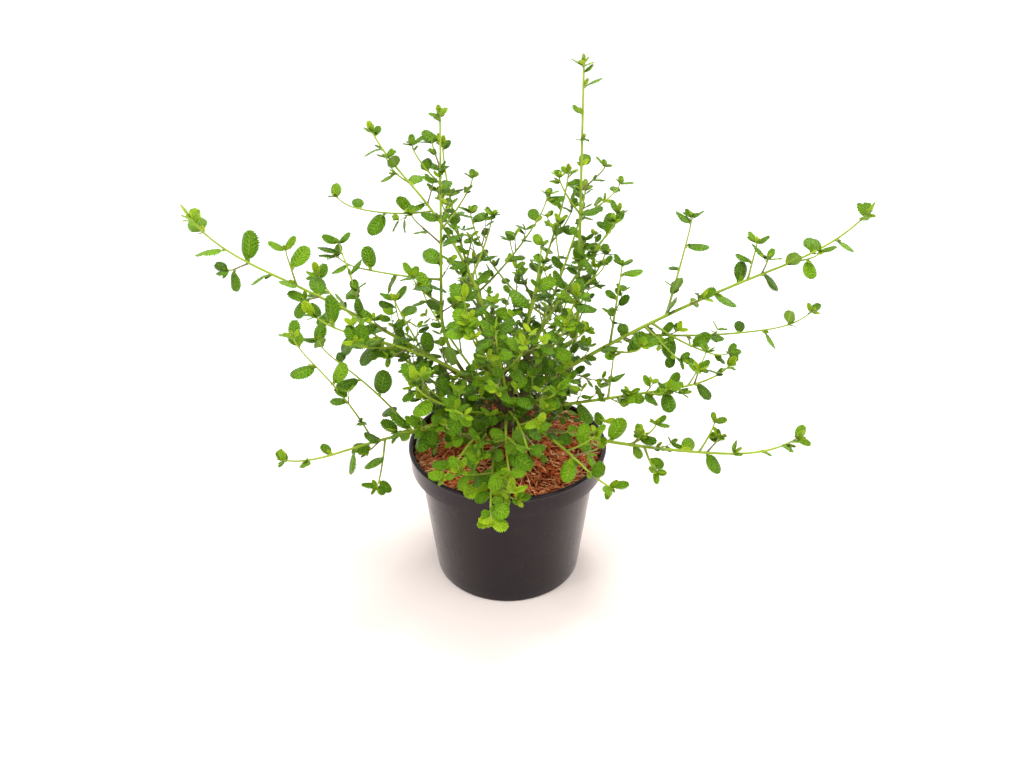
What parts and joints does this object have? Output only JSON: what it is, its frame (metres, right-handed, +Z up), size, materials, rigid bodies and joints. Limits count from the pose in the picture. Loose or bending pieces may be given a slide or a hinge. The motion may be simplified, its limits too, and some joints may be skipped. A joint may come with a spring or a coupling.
{
  "type": "california lilac shrub in a nursery pot",
  "caption": "Young open spreading evergreen shrub with small toothed leaves on thin green shoots, standing in a round black nursery pot topped with bark mulch.",
  "frame": {"origin": "centre of the pot's flat underside", "axes": "+Z up, +X to the right as seen from the front, +Y to the back"},
  "size_m": [0.5268, 0.2651, 0.4344],
  "materials": {
    "pot": "smooth dark grey-black nursery plastic with a soft sheen",
    "mulch": "rust-brown shredded bark and fibre, dull",
    "bark": "thin brown-green bark with fine ridges, matt",
    "young_stem": "smooth yellow-green young bark, satin",
    "foliage": "small glossy mid-green leaves, paler yellow-green at the shoot tips"
  },
  "bodies": {
    "root": {"pot": "pot", "mulch": "mulch", "trunk": "bark", "bough_back_left": "young_stem", "bough_back_mid": "young_stem", "bough_back_right": "young_stem", "bough_front_low": "young_stem", "bough_left_back": "young_stem", "bough_left_long": "young_stem", "bough_left_low": "young_stem", "bough_left_mid": "young_stem", "bough_left_tall": "young_stem", "bough_left_upright": "young_stem", "bough_rear_left": "young_stem", "bough_rear_mid": "young_stem", "bough_rear_right": "young_stem", "bough_right_front": "young_stem", "bough_right_long": "young_stem", "bough_right_low": "young_stem", "bough_right_mid": "young_stem", "bough_right_up": "young_stem", "bough_tallest": "young_stem", "foliage_back_left": "foliage", "foliage_back_mid": "foliage", "foliage_back_right": "foliage", "foliage_front_left": "foliage", "foliage_front_low": "foliage", "foliage_front_mid": "foliage", "foliage_front_right": "foliage", "foliage_front_rim": "foliage", "foliage_front_short": "foliage", "foliage_inner_front": "foliage", "foliage_inner_left": "foliage", "foliage_inner_right": "foliage", "foliage_inner_top": "foliage", "foliage_left_back": "foliage", "foliage_left_long": "foliage", "foliage_left_low": "foliage", "foliage_left_mid": "foliage", "foliage_left_rim": "foliage", "foliage_left_tall": "foliage", "foliage_left_upright": "foliage", "foliage_rear_left": "foliage", "foliage_rear_mid": "foliage", "foliage_rear_right": "foliage", "foliage_right_front": "foliage", "foliage_right_long": "foliage", "foliage_right_low": "foliage", "foliage_right_mid": "foliage", "foliage_right_up": "foliage", "foliage_tallest": "foliage"}
  },
  "joints": []
}
